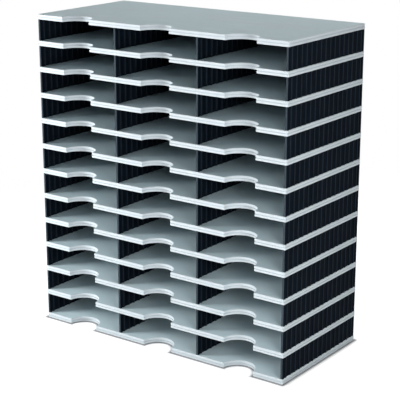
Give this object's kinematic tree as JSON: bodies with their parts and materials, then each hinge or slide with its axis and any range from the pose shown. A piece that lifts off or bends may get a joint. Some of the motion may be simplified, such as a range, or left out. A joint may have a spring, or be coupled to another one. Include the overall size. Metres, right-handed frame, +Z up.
{
  "type": "document sorting station",
  "caption": "Free-standing document sorter: light plates with finger cut-outs stacked on ribbed dark walls, making a grid of open-fronted compartments.",
  "frame": {"origin": "centre of the footprint, on the surface that the station stands on", "axes": "+Z up, -Y out of the open front, +X to the right seen from the front"},
  "size_m": [0.723, 0.331, 0.7881],
  "materials": {
    "shelf_plastic": "light grey moulded polystyrene, satin",
    "wall_plastic": "near black moulded polystyrene, satin"
  },
  "bodies": {
    "root": {"base_shelf": "shelf_plastic", "shelf_01": "shelf_plastic", "shelf_02": "shelf_plastic", "shelf_03": "shelf_plastic", "shelf_04": "shelf_plastic", "shelf_05": "shelf_plastic", "shelf_06": "shelf_plastic", "shelf_07": "shelf_plastic", "shelf_08": "shelf_plastic", "shelf_09": "shelf_plastic", "shelf_10": "shelf_plastic", "shelf_11": "shelf_plastic", "top_shelf": "shelf_plastic", "side_walls_01": "wall_plastic", "dividers_01": "wall_plastic", "rear_panels_01": "wall_plastic", "side_walls_02": "wall_plastic", "dividers_02": "wall_plastic", "rear_panels_02": "wall_plastic", "side_walls_03": "wall_plastic", "dividers_03": "wall_plastic", "rear_panels_03": "wall_plastic", "side_walls_04": "wall_plastic", "dividers_04": "wall_plastic", "rear_panels_04": "wall_plastic", "side_walls_05": "wall_plastic", "dividers_05": "wall_plastic", "rear_panels_05": "wall_plastic", "side_walls_06": "wall_plastic", "dividers_06": "wall_plastic", "rear_panels_06": "wall_plastic", "side_walls_07": "wall_plastic", "dividers_07": "wall_plastic", "rear_panels_07": "wall_plastic", "side_walls_08": "wall_plastic", "dividers_08": "wall_plastic", "rear_panels_08": "wall_plastic", "side_walls_09": "wall_plastic", "dividers_09": "wall_plastic", "rear_panels_09": "wall_plastic", "side_walls_10": "wall_plastic", "dividers_10": "wall_plastic", "rear_panels_10": "wall_plastic", "side_walls_11": "wall_plastic", "dividers_11": "wall_plastic", "rear_panels_11": "wall_plastic", "side_walls_12": "wall_plastic", "dividers_12": "wall_plastic", "rear_panels_12": "wall_plastic"}
  },
  "joints": []
}
